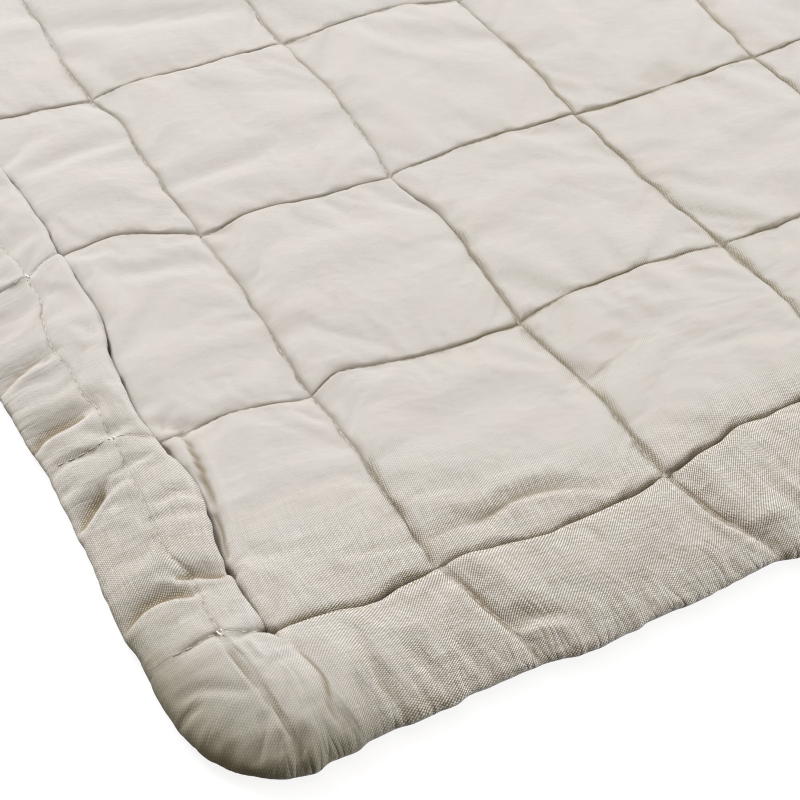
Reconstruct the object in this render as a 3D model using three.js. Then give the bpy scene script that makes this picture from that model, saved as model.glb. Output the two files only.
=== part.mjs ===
// A square-quilted, filled cotton blanket of cot size, lying flat. It is one filled solid.
// Units are millimetres. +Z is up, +Y runs along the length, and the origin is on the floor under the middle.
import * as THREE from 'three';

// Outer sizes of the blanket as it lies.
const blanketWidth = 716;
const blanketLength = 998;
const cornerRadius = 44;

// The sewn lines. Lines that cross the width are even from end seam to end seam.
const quiltPitch = 100;
const innerColumns = 5;
const rows = 9;
const sideSeamInset = 52; // border seam of the long sides, from the outer edge
const endSeamInset = 51; // border seam of the short ends, from the outer edge
const tackInset = 30; // outermost lengthwise line, which runs along the roll of a long side

// Heights above the floor.
const seamHeight = 6.5;
const cellCrown = 14;
const rollCrown = 17;
const edgeHeight = 8; // widest level of the rounded outer edge
const backRecess = 2.5; // depth of the sewn lines on the underside

// How the wadding is drawn in by the sewing.
const cellReach = 7.5; // distance over which a cell rises from its seam
const rollReach = 7; // the same for lines that cross the border roll
const rollRadius = 16; // rounding of the roll towards the outer edge
const rollPinch = 0.5; // share of the roll's height lost at a crossing line
const tackPinch = 0.22; // share of the roll's height lost at the outermost lengthwise line
const edgeNick = 2.5; // how far a line draws in the outer edge
const edgeNickReach = 14;
const sideBow = 5; // how far the long sides draw in between the corners
const sideBowLength = 170; // distance from a corner over which they do
const crownSpread = 0.08; // how unevenly the cells are filled
const crownTurn = { column: 2.3, row: 4.1 }; // radians from one cell to the next in that unevenness

// Where the cloth turns under, as inset from the widest level and height above the floor.
const underTurn = [
  { inset: 2.2, height: 3 },
  { inset: 7.5, height: 0 },
];
const backBorder = 12; // the underside's quilted field ends this far outside the border seam
const backGroove = 6; // half width of a sewn line on the underside

// Crossings that lie off the even layout: lengthwise line, crosswise line, shift along X and Y.
const strayCrossings = [
  { column: 0, row: 0, x: 1, y: 2 },
  { column: 1, row: 0, x: 2, y: -3 },
  { column: 0, row: 1, x: 4, y: -4 },
  { column: 1, row: 1, x: -1, y: -6 },
  { column: 2, row: 1, x: 4, y: -4 },
  { column: 0, row: 2, x: 5, y: -5 },
  { column: 1, row: 2, x: -3, y: -4 },
  { column: 2, row: 2, x: -3, y: -1 },
  { column: 3, row: 2, x: 3, y: 0 },
  { column: 1, row: 3, x: -1, y: 2 },
  { column: 2, row: 3, x: -5, y: 1 },
];
const strayReach = 38;

// Mesh stops between two sewn lines, as shares of the gap, and across the roll, as insets from the edge.
const cellStops = [0.07, 0.3, 0.7, 0.93];
const rollStops = [0, 1.2, 4, 9, 16];
const endRollStop = 33; // one more across the roll of a short end
const seamStop = 7; // first stop beside the border seam, and beside the outermost lengthwise line

const clothMaterial = new THREE.MeshStandardMaterial({ color: 0xcfc8bd, roughness: 0.92, metalness: 0 });

const halfWidth = blanketWidth / 2;
const halfLength = blanketLength / 2;
const sideSeam = halfWidth - sideSeamInset;
const endSeam = halfLength - endSeamInset;
const tackLine = halfWidth - tackInset;
const lengthwise = evenLines(innerColumns, quiltPitch);
const crosswise = evenLines(rows, (2 * endSeam) / rows);

// Positions of the lines that bound a number of equal cells, centred on zero.
function evenLines(cells, pitch) {
  const lines = [];
  for (let line = 0; line <= cells; line += 1) {
    lines.push((line - cells / 2) * pitch);
  }
  return lines;
}

// Eased step from 0 to 1.
function smooth(share) {
  const t = Math.min(1, Math.max(0, share));
  return t * t * (3 - 2 * t);
}

// Distance from a value to the nearest of several lines.
function nearest(lines, value) {
  return Math.min(...lines.map((line) => Math.abs(value - line)));
}

// Mesh stops along one axis: the roll, the border seam, the sewn lines and the stops between them.
function gridStops(half, seam, innerLines, extraStops) {
  const sewn = [...new Set([-seam, ...innerLines, seam])].sort((a, b) => a - b);
  const field = [];
  for (let k = 0; k < sewn.length - 1; k += 1) {
    const gap = sewn[k + 1] - sewn[k];
    field.push(sewn[k], ...cellStops.map((share) => sewn[k] + share * gap));
  }
  const roll = [...rollStops.map((inset) => half - inset), ...extraStops, seam + seamStop];
  roll.sort((a, b) => b - a);
  return [...roll.map((stop) => -stop), ...field, seam, ...[...roll].reverse()];
}

// Rounds the corner squares of the layout, so that their outer sides become quarter circles.
function roundCorner(across, along) {
  const p = Math.max(0, (Math.abs(across) - halfWidth + cornerRadius) / cornerRadius);
  const q = Math.max(0, (Math.abs(along) - halfLength + cornerRadius) / cornerRadius);
  if (p === 0 || q === 0) {
    return { across, along, inset: Math.min(halfWidth - Math.abs(across), halfLength - Math.abs(along)) };
  }
  const px = p * Math.sqrt(1 - (q * q) / 2);
  const qy = q * Math.sqrt(1 - (p * p) / 2);
  return {
    across: Math.sign(across) * (halfWidth - cornerRadius + cornerRadius * px),
    along: Math.sign(along) * (halfLength - cornerRadius + cornerRadius * qy),
    inset: cornerRadius * (1 - Math.hypot(px, qy)),
  };
}

// Unit vector that points outwards from the nearest stretch of the rounded outline.
function outward(across, along) {
  const p = Math.abs(across) - halfWidth + cornerRadius;
  const q = Math.abs(along) - halfLength + cornerRadius;
  const out = p > 0 && q > 0 ? new THREE.Vector2(p, q) : new THREE.Vector2(p > q ? 1 : 0, p > q ? 0 : 1);
  out.normalize();
  return new THREE.Vector2(Math.sign(across) * out.x, Math.sign(along) * out.y);
}

// Distance to the border seam, a rectangle.
function seamDistance(across, along) {
  const beyondSide = Math.abs(across) - sideSeam;
  const beyondEnd = Math.abs(along) - endSeam;
  if (beyondSide <= 0 && beyondEnd <= 0) {
    return Math.min(-beyondSide, -beyondEnd);
  }
  return Math.hypot(Math.max(0, beyondSide), Math.max(0, beyondEnd));
}

// Share of the filling's height left at a distance from a sewn line.
function pinch(distance, strength, reach) {
  return 1 - strength * Math.exp(-distance / reach);
}

// Fullness of one cell against the mean, from its place.
function fullness(across, along) {
  const column = Math.floor(across / quiltPitch + innerColumns / 2);
  const row = Math.floor(((along + endSeam) / (2 * endSeam)) * rows);
  return 1 + crownSpread * Math.sin(crownTurn.column * column + crownTurn.row * row + column * row);
}

// Height of the upper face at a place of the layout.
function topHeight(across, along, inset) {
  const inField = Math.abs(across) <= sideSeam && Math.abs(along) <= endSeam;
  let share = pinch(seamDistance(across, along), 1, cellReach);
  const lineStrength = inField ? 1 : rollPinch;
  const lineReach = inField ? cellReach : rollReach;
  share *= pinch(nearest(lengthwise, across), lineStrength, lineReach);
  share *= pinch(nearest(crosswise, along), lineStrength, lineReach);
  if (inField) {
    return seamHeight + (cellCrown - seamHeight) * fullness(across, along) * share;
  }
  share *= pinch(Math.abs(Math.abs(across) - tackLine), tackPinch, rollReach);
  const turn = 1 - Math.min(inset, rollRadius) / rollRadius;
  const roll = edgeHeight + (rollCrown - edgeHeight) * Math.sqrt(1 - turn * turn);
  return seamHeight + (roll - seamHeight) * share;
}

// Shift of a place by the crossings that lie off the even layout.
function stray(across, along, inset) {
  const shift = new THREE.Vector2();
  for (const crossing of strayCrossings) {
    const dx = across - lengthwise[crossing.column];
    const dy = along - crosswise[crossing.row];
    const weight = Math.exp(-(dx * dx + dy * dy) / (strayReach * strayReach));
    shift.x += crossing.x * weight;
    shift.y += crossing.y * weight;
  }
  return shift.multiplyScalar(smooth(inset / sideSeamInset));
}

// How far the ends of the sewn lines, and the bow of the long sides, draw in the outer edge.
function edgeDraw(across, along, inset) {
  const onSide = halfWidth - Math.abs(across) < halfLength - Math.abs(along);
  const beforeCorner = onSide
    ? halfLength - cornerRadius - Math.abs(along)
    : halfWidth - cornerRadius - Math.abs(across);
  if (beforeCorner < 0) {
    return 0;
  }
  const distance = onSide ? nearest(crosswise, along) : nearest(lengthwise, across);
  const nick = edgeNick * Math.exp(-((distance / edgeNickReach) ** 2)) * Math.exp(-inset / rollRadius);
  const bow = onSide ? sideBow * smooth(beforeCorner / sideBowLength) : 0;
  return nick + bow * smooth(1 - inset / sideSeamInset);
}

// One point of the upper face from its place in the even layout.
function topPoint(across, along) {
  const place = roundCorner(across, along);
  const shift = stray(place.across, place.along, place.inset);
  const draw = edgeDraw(place.across, place.along, place.inset);
  const out = outward(place.across, place.along);
  return new THREE.Vector3(
    place.across + shift.x - out.x * draw,
    place.along + shift.y - out.y * draw,
    topHeight(place.across, place.along, place.inset),
  );
}

// Indices of a grid's boundary, anticlockwise seen from above.
function boundaryLoop(columns, lines) {
  const loop = [];
  for (let i = 0; i < columns - 1; i += 1) {
    loop.push([i, 0]);
  }
  for (let j = 0; j < lines - 1; j += 1) {
    loop.push([columns - 1, j]);
  }
  for (let i = columns - 1; i > 0; i -= 1) {
    loop.push([i, lines - 1]);
  }
  for (let j = lines - 1; j > 0; j -= 1) {
    loop.push([0, j]);
  }
  return loop;
}

// Height of the underside: flat cells with shallow sewn lines that end inside the border.
function backHeight(across, along) {
  const seam = seamDistance(across, along);
  const inField = Math.abs(across) <= sideSeam && Math.abs(along) <= endSeam;
  const line = inField ? Math.min(nearest(lengthwise, across), nearest(crosswise, along)) : seam;
  return backRecess * Math.max(0, 1 - Math.min(seam, line) / backGroove);
}

// Mesh stops of the underside along one axis.
function backStops(seam, innerLines) {
  const sewn = [...new Set([-seam, ...innerLines, seam])];
  const stops = sewn.flatMap((line) => [line - backGroove, line, line + backGroove]);
  return [-seam - backBorder, ...stops.sort((a, b) => a - b), seam + backBorder];
}

// The whole closed surface: upper face, turned-under edge, flat margin and underside.
function blanketGeometry() {
  const points = [];
  const faces = [];
  const add = (point) => points.push(point) - 1;

  const topX = gridStops(halfWidth, sideSeam, lengthwise, [tackLine, tackLine - seamStop]);
  const topY = gridStops(halfLength, endSeam, crosswise, [halfLength - endRollStop]);
  const top = topX.map((across) => topY.map((along) => add(topPoint(across, along))));
  for (let i = 0; i < topX.length - 1; i += 1) {
    for (let j = 0; j < topY.length - 1; j += 1) {
      const a = top[i][j];
      const b = top[i + 1][j];
      const c = top[i + 1][j + 1];
      const d = top[i][j + 1];
      const rising = (topX[i] + topX[i + 1]) * (topY[j] + topY[j + 1]) > 0;
      faces.push(...(rising ? [[a, b, c], [a, c, d]] : [[a, b, d], [b, c, d]]));
    }
  }

  const rim = boundaryLoop(topX.length, topY.length).map(([i, j]) => top[i][j]);
  let upper = rim;
  for (const turn of underTurn) {
    const lower = rim.map((index) => {
      const point = points[index];
      const out = outward(point.x, point.y);
      return add(new THREE.Vector3(point.x - out.x * turn.inset, point.y - out.y * turn.inset, turn.height));
    });
    for (let k = 0; k < rim.length; k += 1) {
      const next = (k + 1) % rim.length;
      faces.push([lower[k], lower[next], upper[next]], [lower[k], upper[next], upper[k]]);
    }
    upper = lower;
  }

  const backX = backStops(sideSeam, lengthwise);
  const backY = backStops(endSeam, crosswise);
  const back = backX.map((x) => backY.map((y) => add(new THREE.Vector3(x, y, backHeight(x, y)))));
  for (let i = 0; i < backX.length - 1; i += 1) {
    for (let j = 0; j < backY.length - 1; j += 1) {
      faces.push([back[i][j], back[i][j + 1], back[i + 1][j + 1]]);
      faces.push([back[i][j], back[i + 1][j + 1], back[i + 1][j]]);
    }
  }

  const inner = boundaryLoop(backX.length, backY.length).map(([i, j]) => back[i][j]);
  const flat = (index) => new THREE.Vector2(points[index].x, points[index].y);
  const margin = [...upper, ...inner];
  for (const [a, b, c] of THREE.ShapeUtils.triangulateShape(upper.map(flat), [inner.map(flat)])) {
    const corners = [margin[a], margin[b], margin[c]];
    const [p, q, r] = corners.map(flat);
    const facesUp = q.clone().sub(p).cross(r.clone().sub(p)) > 0;
    faces.push(facesUp ? corners.reverse() : corners);
  }

  const geometry = new THREE.BufferGeometry().setFromPoints(points);
  geometry.setIndex(faces.flat());
  geometry.computeVertexNormals();
  return geometry;
}

const blanket = new THREE.Mesh(blanketGeometry(), clothMaterial);
blanket.name = 'quilted_blanket';

const part = new THREE.Group();
part.add(blanket);

export default part;
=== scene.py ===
import bpy
import math
import numpy as np
from mathutils import Matrix, Vector, geometry


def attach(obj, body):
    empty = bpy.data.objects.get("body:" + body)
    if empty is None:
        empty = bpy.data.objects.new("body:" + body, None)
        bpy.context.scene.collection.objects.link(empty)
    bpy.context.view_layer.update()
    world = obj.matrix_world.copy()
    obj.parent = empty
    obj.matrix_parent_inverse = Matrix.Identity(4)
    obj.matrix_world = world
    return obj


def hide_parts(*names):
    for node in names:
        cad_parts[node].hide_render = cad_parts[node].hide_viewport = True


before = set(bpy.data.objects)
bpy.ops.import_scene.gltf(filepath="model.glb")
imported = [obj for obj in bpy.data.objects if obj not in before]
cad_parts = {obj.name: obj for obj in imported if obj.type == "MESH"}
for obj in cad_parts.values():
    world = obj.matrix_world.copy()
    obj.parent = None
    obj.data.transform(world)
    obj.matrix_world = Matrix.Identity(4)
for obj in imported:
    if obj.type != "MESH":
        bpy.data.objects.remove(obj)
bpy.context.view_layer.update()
scene = bpy.context.scene
mm = 0.001
seed = 7

# node helpers


def feed(socket, value):  # a plain value, or another node's output
    if isinstance(value, bpy.types.NodeSocket):
        socket.id_data.links.new(value, socket)
    else:
        socket.default_value = value


def maths(operation, *values):
    tree = next(k for k in values if isinstance(k, bpy.types.NodeSocket)).id_data
    made = tree.nodes.new("ShaderNodeMath")
    made.operation = operation
    for socket, value in zip(made.inputs, values):
        feed(socket, value)
    return made.outputs[0]


def plus(first, second):
    return maths("ADD", first, second)


def minus(first, second):
    return maths("SUBTRACT", first, second)


def times(first, second):
    return maths("MULTIPLY", first, second)


def rangeMap(value, low, high, toLow=0.0, toHigh=1.0, kind="SMOOTHSTEP"):
    made = value.id_data.nodes.new("ShaderNodeMapRange")
    made.interpolation_type = kind
    feed(made.inputs["Value"], value)
    for name, number in zip(("From Min", "From Max", "To Min", "To Max"), (low, high, toLow, toHigh)):
        feed(made.inputs[name], number)
    return made.outputs["Result"]


def noise(vector, scale, detail, dimensions="3D"):
    made = vector.id_data.nodes.new("ShaderNodeTexNoise")
    made.noise_dimensions = dimensions
    feed(made.inputs["Scale"], scale)
    feed(made.inputs["Detail"], detail)
    feed(made.inputs["Vector"], vector)
    return made.outputs["Fac"]


def stretched(vector, scale):
    made = vector.id_data.nodes.new("ShaderNodeMapping")
    feed(made.inputs["Scale"], scale)
    feed(made.inputs["Vector"], vector)
    return made.outputs["Vector"]


def mixColour(share, first, second):
    made = share.id_data.nodes.new("ShaderNodeMix")
    made.data_type = "RGBA"
    for slot, value in ((0, share), (6, first), (7, second)):
        feed(made.inputs[slot], value)
    return made.outputs[2]


def bump(height, distance, strength=1.0, under=None):
    made = height.id_data.nodes.new("ShaderNodeBump")
    feed(made.inputs["Strength"], strength)
    feed(made.inputs["Distance"], distance)
    feed(made.inputs["Height"], height)
    if under is not None:
        feed(made.inputs["Normal"], under)
    return made.outputs["Normal"]


def mark(tree, name):  # a number kept on the mesh
    made = tree.nodes.new("ShaderNodeAttribute")
    made.attribute_name = name
    return made.outputs["Fac"]


def newMaterial(name, settings):
    material = bpy.data.materials.new(name)
    material.use_nodes = True
    shader = material.node_tree.nodes["Principled BSDF"]
    for label, value in settings.items():
        feed(shader.inputs[label], value)
    return material, shader


# camera and light

cameraSet = {
    "eye": (-482, -746.6, 489),  # mm, in the blanket's frame
    "azimuth": -35.1,
    "elevation": 46.3,
    "roll": 6.6,
    "focalPixels": 1730,
    "imagePixels": 800,
    "sensor": 36,
}


def makeCamera(c):
    az, el, roll = (math.radians(c[k]) for k in ("azimuth", "elevation", "roll"))
    back = Vector((math.sin(az) * math.cos(el), -math.cos(az) * math.cos(el), math.sin(el)))
    right = Vector((0, 0, 1)).cross(back).normalized()
    up = back.cross(right)
    tilted = right * math.cos(roll) + up * math.sin(roll)
    upright = up * math.cos(roll) - right * math.sin(roll)
    data = bpy.data.cameras.new("photoCamera")
    data.sensor_fit = "HORIZONTAL"
    data.sensor_width = c["sensor"]
    data.lens = c["sensor"] * c["focalPixels"] / c["imagePixels"]
    camera = bpy.data.objects.new("photoCamera", data)
    turn = Matrix((tilted, upright, back)).transposed().to_4x4()
    camera.matrix_world = Matrix.Translation(Vector(c["eye"]) * mm) @ turn
    scene.collection.objects.link(camera)
    scene.camera = camera


makeCamera(cameraSet)

lightSet = {
    "skyBright": (0.40, 0.355, 0.275, 1),
    "skyDark": (0.02, 0.016, 0.01, 1),
    "skyAxis": (-0.3, 0.52, 0.8),  # from the dark side of the room to the bright one
    "skyBlend": (-0.35, 0.75),
    "panels": [  # name, place in m, size in m, watts, aim
        ("window", (-0.7, 3.4, 2.6), 2.6, 295, (-0.2, -0.2, 0)),
        ("overhead", (-0.2, 0.5, 2.8), 2.4, 34, (-0.2, -0.2, 0)),
        ("fill", (1.7, -1.7, 0.42), 0.8, 52, (-0.2, -0.5, 0)),
    ],
    "panelColour": (0.965, 1.005, 1.125),
    "filterWidth": 1.1,  # keeps the weave crisp
}
floorSet = {
    "size": 9,  # m
    "finish": {
        "Base Color": (0.16, 0.16, 0.16, 1),
        "Roughness": 0.9,
        "Specular IOR Level": 0.1,
        "Emission Color": (1.0, 0.995, 0.985, 1),
        "Emission Strength": 0.87,  # a lit table top keeps the shadow narrow
    },
}


def makeStudio(c):
    world = bpy.data.worlds.new("paleRoom")
    world.use_nodes = True
    sky = world.node_tree
    facing = sky.nodes.new("ShaderNodeVectorMath")
    facing.operation = "DOT_PRODUCT"
    feed(facing.inputs[0], sky.nodes.new("ShaderNodeTexCoord").outputs["Generated"])
    feed(facing.inputs[1], c["skyAxis"])
    blend = rangeMap(facing.outputs["Value"], *c["skyBlend"], kind="LINEAR")
    feed(sky.nodes["Background"].inputs["Color"], mixColour(blend, c["skyDark"], c["skyBright"]))
    scene.world = world
    for name, place, size, watts, aim in c["panels"]:
        data = bpy.data.lights.new(name, "AREA")
        data.shape = "SQUARE"
        data.size = size
        data.energy = watts
        data.color = c["panelColour"]
        panel = bpy.data.objects.new(name, data)
        panel.location = place
        panel.rotation_euler = (Vector(aim) - Vector(place)).to_track_quat("-Z", "Y").to_euler()
        scene.collection.objects.link(panel)
    scene.view_settings.view_transform = "Standard"
    scene.cycles.filter_width = c["filterWidth"]


def makeFloor(c):
    half = c["size"] / 2
    corners = [(x * half, y * half, 0) for x, y in ((-1, -1), (1, -1), (1, 1), (-1, 1))]
    mesh = bpy.data.meshes.new("floor")
    mesh.from_pydata(corners, [], [(0, 1, 2, 3)])
    mesh.materials.append(newMaterial("paleFloor", c["finish"])[0])
    floor = bpy.data.objects.new("floor", mesh)
    scene.collection.objects.link(floor)
    floor.visible_diffuse = False  # the cloth's low edges take their light from the sky alone


makeStudio(lightSet)
makeFloor(floorSet)
print("camera and light set")

# the blanket, all sizes in mm; pairs are for lengthwise and crosswise lines unless a note says otherwise

blanket = {
    "node": "quilted_blanket",
    "slot": "cotton_cloth",
    "width": 716,
    "length": 998,
    "cornerRadius": 44,
    "pitch": 100,
    "innerColumns": 5,
    "rows": 9,
    "sideSeamInset": 52,
    "endSeamInset": 51,
    "tackInset": 30,
    # filling
    "cellHeight": 13.1,  # shoulder of a cell
    "cellCrown": 0.5,  # further rise to its middle
    "crownSpread": 0.6,
    "rollCrown": 16.6,
    "edgeHeight": 5.2,
    "rollTop": 50,  # plan depth of the roll above its widest level
    "rollUnder": 5,  # the same below it
    "rollRound": 1.55,  # 2 would be an ellipse, 1 a straight slope
    "endLower": 0.18,  # the rolls of the ends are this much lower
    "cornerReach": (95, 100),  # how far from the outline a corner counts
    "cornerBlend": 60,
    "cornerCrown": 17.6,  # the corners are fuller and rounder
    "cornerRound": 36,
    # sewn lines, a dip being its steep share, that share's reach and the rest's reach
    "seamDepth": (3.0, 1.9),
    "cellDip": ((0.7, 1.1, 5.0), (0.6, 1.4, 5.0)),
    "tightness": (0.86, 0.14, 17),  # mean, spread and spacing along the line
    "borderDepth": 5.8,
    "borderDip": (0.96, 0.9, 6.0),  # cell side of the border seam
    "rollDip": (0.88, 0.9, 5.0),  # roll side of the border seam
    "borderSink": (1.8, 0.9),  # the border seam lies this much deeper, over this reach
    "borderRunOut": 7,
    "borderBand": 12,
    "bridge": (0.65, 6.0),  # the border's crack is shallow where lines cross it, over this reach
    "rollStart": (9, 12),  # lines over the roll start this far from the outline, and deepen over this
    "acrossPinch": (0.26, 0.04),  # lines over the rolls of the ends, and of the long sides
    "acrossDip": ((0.6, 1.2, 6.0), (0.75, 0.8, 3.0)),
    "tackPinch": 0.08,
    "tackDip": (0.85, 0.7, 4.0),
    "sewnFrom": 0.04,  # cloth that is pulled down by this share is held
    "sewnReach": 0.7,  # this close to a line
    "sideFacing": (0.6, 0.4),  # how squarely the edge faces a side or an end, and its blend
    "seamClose": 0.4,  # how far the walls of a seam close up
    "borderClose": (0.7, 0.8),  # the same at the border, on the cell's side and the roll's
    "closeReach": 4.0,
    "closeOnRoll": (0.5, 10, 12),  # share over the rolls, its start and its blend
    # brown of the lines
    "seamTint": (0.47, 0.55),
    "borderTint": 0.85,
    "acrossTint": (0.5, 0.2),
    "tackTint": 0.22,
    "patchiness": (0.85, 0.4, 8),  # mean, spread and spacing along the line
    "toneReach": {"cell": 1.8, "border": (1.2, 0.6), "across": 1.0, "tack": 0.7},
    # edges drawn in, a bow being its depth, its start from the rounded corner and its blend
    "sideBow": [(2.0, -35, 35), (3.6, 20, 60)],
    "endBow": [(3.0, -30, 40), (-3.0, 45, 45)],
    "edgeNick": (1.0, 14),  # at each line, over this reach
    "nickBlend": 25,
}

# how far the sewn lines stray: (place along the line from the photo's corner, shift)
lengthwiseStray = {
    0: [(8, 0), (13, 2), (24, 1), (37, -1), (49, -3), (58, -3), (79, -1), (93, -4), (114, -3),
        (130, -2), (153, 0), (160, -1), (166, 2), (175, -2), (191, 0), (204, -2), (217, 0), (237, 4),
        (439, 0)],
    1: [(29, 0), (41, -6), (51, -9), (88, -8), (104, -5), (127, -2), (157, -7), (183, -5), (217, 2),
        (311, 2), (439, 0)],
    2: [(9, 13), (14, 13), (23, 9), (30, 7), (39, 6), (45, 3), (51, 0), (77, 2), (120, 3), (146, 1),
        (233, 4), (282, 2), (330, 5), (349, -2), (438, 1)],
    3: [(9, 14), (15, 12), (24, 6), (38, 3), (48, 0), (102, 1), (144, -4), (217, 1), (246, -6),
        (311, 1), (352, -4), (397, -3)],
    4: [(49, 0), (116, 4), (147, 1), (200, -4), (249, -6), (299, -4), (350, -8), (409, -2)],
    5: [(149, 0), (216, 2), (250, 0), (306, 4), (399, 0)],
}
crosswiseStray = {
    0: [(4, 6), (27, 6), (43, 1), (70, -1), (84, -4), (108, -2), (127, -1), (152, -6), (200, -4),
        (227, 1), (249, 5), (378, 0)],
    1: [(7, 4), (16, 2), (30, 3), (48, -3), (61, -6), (79, -3), (108, -10), (118, -2), (127, -3),
        (155, -8), (207, -10), (230, -4), (271, -3), (319, -8), (418, -5)],
    2: [(25, -5), (53, 5), (79, 7), (113, -8), (133, -3), (205, -8), (244, -2), (342, -5), (443, -2)],
    3: [(66, -1), (108, -4), (128, 0), (207, -1), (275, 5), (303, -3), (398, 0)],
}
wander = {  # of every line, besides
    "broad": (1.6, 37),  # shift and spacing
    "fine": (0.8, 11),
    "placedShare": 0.4,  # of the broad one, where the line's place is listed
    "rounding": (-5, -2.5, 0, 2.5, 5),
    "edgeBlend": 30,
}

# listed creases: points along the crease, measured in from the photo's corner,
# widths to its left and right, and depth, which is below zero for a ridge
creases = [
    # over the long side's roll
    ([(3, 78), (10, 81), (16, 81), (22, 79), (27, 76)], (5, 1.6), 3.3),
    ([(20, 87), (25, 82), (30, 77)], (1.8, 1.8), -0.8),
    ([(26, 85), (32, 83), (37, 79), (41, 78)], (4.4, 1.5), 2.9),
    ([(7, 125), (13, 129), (19, 133)], (5.5, 1.6), 3.2),
    ([(15, 131), (22, 133), (28, 134)], (2.6, 1.6), 1.1),
    ([(27, 138), (32, 139), (40, 139)], (3, 1.6), 1.2),
    ([(7, 141), (11, 143)], (2.5, 2.5), 0.9),
    ([(33, 118), (43, 119), (46, 114)], (2.5, 2), 0.9),
    ([(27, 111), (38, 110), (47, 105)], (2.5, 2), 0.7),
    ([(34, 154), (39, 152), (44, 146)], (2.5, 2), 0.8),
    ([(6, 151), (13, 154), (18, 153), (23, 151), (28, 154)], (2.2, 1.4), 0.9),
    ([(4, 166), (12, 170), (19, 169), (27, 169)], (6, 1.6), 3.4),
    ([(5, 199), (14, 202), (21, 203), (28, 202)], (6, 1.8), 1.9),
    ([(30, 157), (37, 157), (42, 153)], (3, 2), 1.0),
    ([(57, 146), (56, 134), (55, 126), (53, 117), (51, 107), (48, 96), (46, 87)], (1.5, 1.7), 2.5),
    # the corner
    ([(27, 57), (27, 51), (28, 43), (29, 37), (31, 24), (32, 12), (30, 7)], (0.9, 0.8), 1.9),
    ([(48, 43), (50, 32), (51, 24), (47, 15), (49, 8)], (4.5, 1.8), 1.9),
    ([(34, 11), (32, 6), (29, 3)], (2, 1.6), 1.5),
    ([(32, 50), (33, 46), (34, 41)], (1.4, 1.2), 0.9),
    ([(8, 41), (12, 41), (17, 38), (25, 32)], (2.6, 1.5), 0.9),
    ([(4, 35), (7, 36), (11, 36)], (2.2, 1.6), 1.3),
    ([(13, 18), (11, 14)], (1.6, 1.6), 1.0),
    ([(9, 24), (6, 21)], (1.6, 1.6), 0.9),
    ([(31, 52), (39, 53), (46, 50)], (2.2, 1.6), 1.2),
    # over the end's roll
    ([(68, 33), (68, 24), (68, 15), (69, 6)], (3.2, 1.5), 1.3),
    ([(59, 21), (59, 13), (60, 5)], (2.4, 1.3), 1.0),
    ([(82, 25), (84, 17), (87, 6)], (3, 1.5), 1.2),
    ([(76, 17), (78, 11), (79, 4)], (2, 1.2), 0.9),
    ([(98, 23), (101, 13), (103, 4)], (2.8, 1.5), 1.1),
    ([(93, 15), (94, 10), (96, 4)], (2, 1.2), 0.8),
    ([(111, 47), (114, 39), (115, 30), (117, 23), (119, 17), (121, 12)], (5.5, 1.8), 1.8),
    ([(120, 12), (122, 7), (123, 2)], (2.6, 2), 1.5),
    ([(122, 17), (128, 18), (135, 15)], (4, 2), 1.3),
    ([(125, 12), (130, 12), (136, 10)], (3, 3), -0.9),
    ([(208, 43), (211, 38), (212, 31), (214, 24), (217, 19), (221, 13)], (5.5, 1.8), 1.9),
    ([(221, 13), (225, 8), (228, 2)], (2.6, 2), 1.5),
    ([(225, 16), (231, 17), (238, 14)], (3, 3), -0.9),
    # in the cells
    ([(112, 62), (123, 63), (136, 61), (155, 65), (174, 59), (184, 53)], (3.6, 2.6), 1.7),
    ([(82, 68), (94, 66), (103, 62)], (5, 2.5), 1.2),
    ([(115, 439), (144, 433), (180, 436)], (6, 6), 0.9),
    ([(66, 309), (82, 313), (100, 312)], (5, 4), 0.9),
    ([(68, 237), (79, 231), (96, 229)], (5, 4), 0.8),
    ([(50, 153), (55, 150), (62, 147)], (3, 2), 1.2),
    ([(206, 101), (230, 108), (250, 115)], (7, 5), 1.0),
    ([(261, 95), (277, 95), (291, 91)], (6, 4), 0.8),
    ([(115, 401), (151, 392), (192, 384)], (7, 6), 1.0),
    ([(124, 356), (145, 355), (165, 354)], (6, 6), 0.8),
    ([(110, 276), (132, 277), (157, 279)], (6, 5), 0.8),
]
bunching = {  # short folds at every crossing
    "folds": 5,
    "start": 2.0,
    "length": (6, 17),
    "width": (1.5, 2.8),
    "depth": (-0.8, 1.0),
    "swing": (0.3, 0.5),  # how unevenly they are spread, and how much they bend
}


def smooth(v):
    v = np.clip(v, 0, 1)
    return v * v * (3 - 2 * v)


def ramp(v, start, blend):  # rises softly from 0 to 1
    return smooth((v - start) / blend)


def nearest(v, lines):
    return np.min([np.abs(v - k) for k in lines], axis=0)


def softNoise(u, v, salt):  # smooth noise between -1 and 1 on a repeating table
    wide, deep = 127, 113
    table = np.random.default_rng(seed + salt).uniform(-1, 1, (wide, deep))
    i, j = np.floor(u).astype(int), np.floor(v).astype(int)
    fu, fv = u - i, v - j
    fu = fu ** 3 * (fu * (fu * 6 - 15) + 10)
    fv = fv ** 3 * (fv * (fv * 6 - 15) + 10)
    i0, i1, j0, j1 = i % wide, (i + 1) % wide, j % deep, (j + 1) % deep
    low = table[i0, j0] * (1 - fu) + table[i1, j0] * fu
    high = table[i0, j1] * (1 - fu) + table[i1, j1] * fu
    return low * (1 - fv) + high * fv


def evenLines(cells, pitch):
    return [(k - cells / 2) * pitch for k in range(cells + 1)]


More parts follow.
